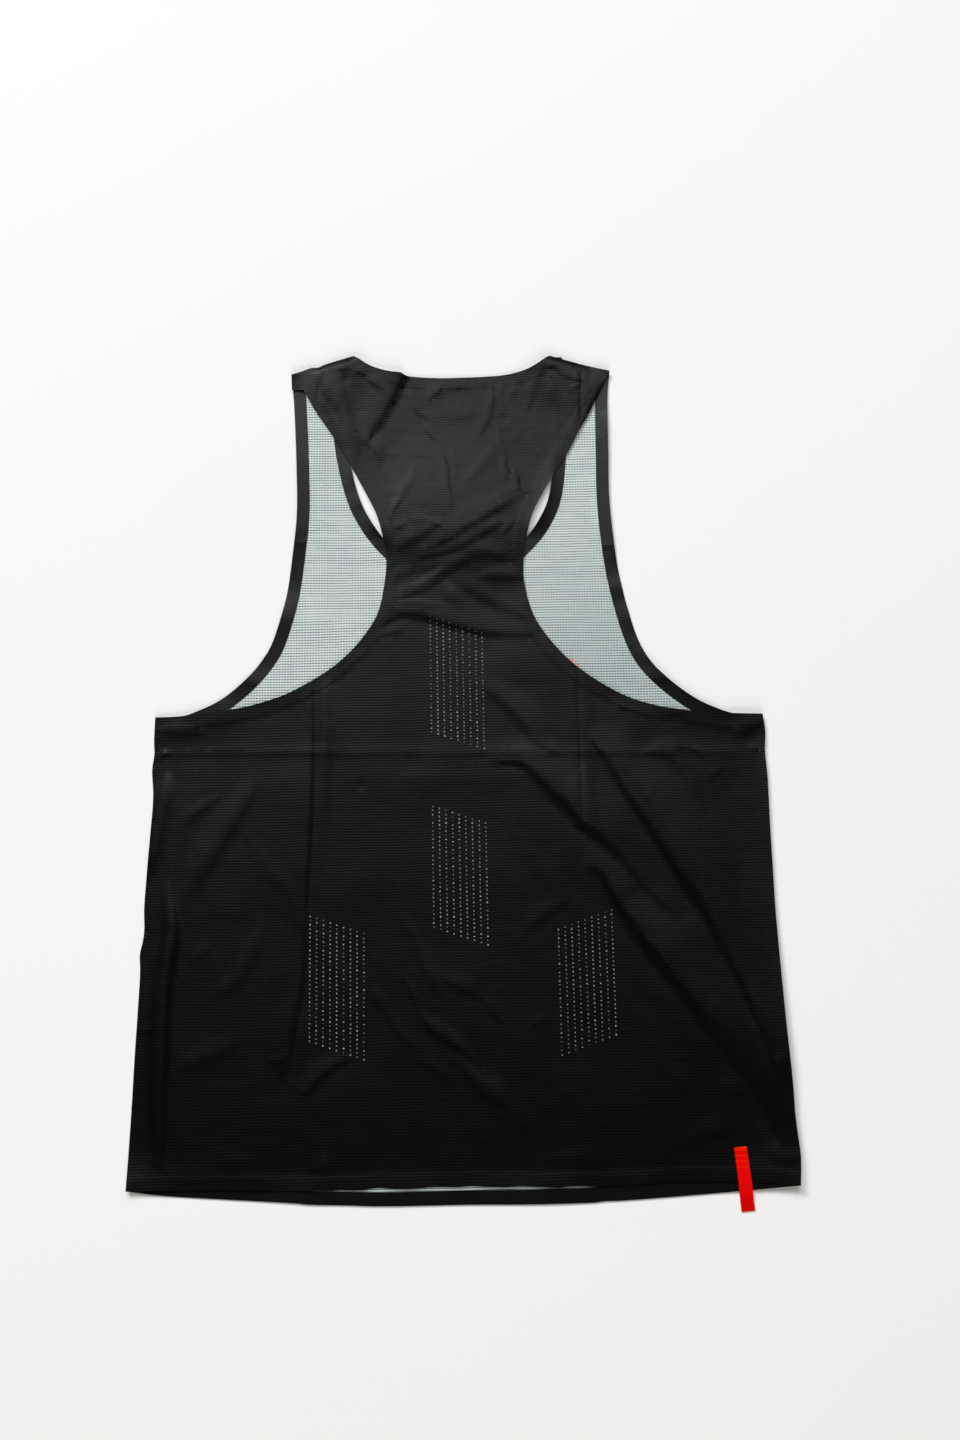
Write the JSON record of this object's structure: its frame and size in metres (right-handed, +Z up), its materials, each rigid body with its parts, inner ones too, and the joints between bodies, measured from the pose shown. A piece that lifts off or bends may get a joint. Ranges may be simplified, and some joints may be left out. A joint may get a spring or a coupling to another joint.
{
  "type": "running singlet laid flat",
  "caption": "Sleeveless racer-back running singlet lying flat with its back up: front under back, bonded edge tapes inside and a short tape tab over the hem.",
  "frame": {"origin": "middle of the garment's box, on the surface that it lies on", "axes": "+Z up off the surface, +Y from the hem towards the shoulders, +X across the garment towards the side with the tab"},
  "size_m": [0.5072, 0.7058, 0.007],
  "materials": {
    "back_knit": "matt fine ribbed knit, black",
    "front_knit": "matt open mesh knit, pale ice blue on the inside, black on the outside",
    "tape": "smooth satin bonded tape, black",
    "tab": "woven tape, red"
  },
  "bodies": {
    "root": {"front_panel": "front_knit", "back_panel": "back_knit", "front_neck_facing": "tape", "armhole_facing_left": "tape", "armhole_facing_right": "tape", "front_hem_facing": "tape", "hem_tab": "tab"}
  },
  "joints": []
}
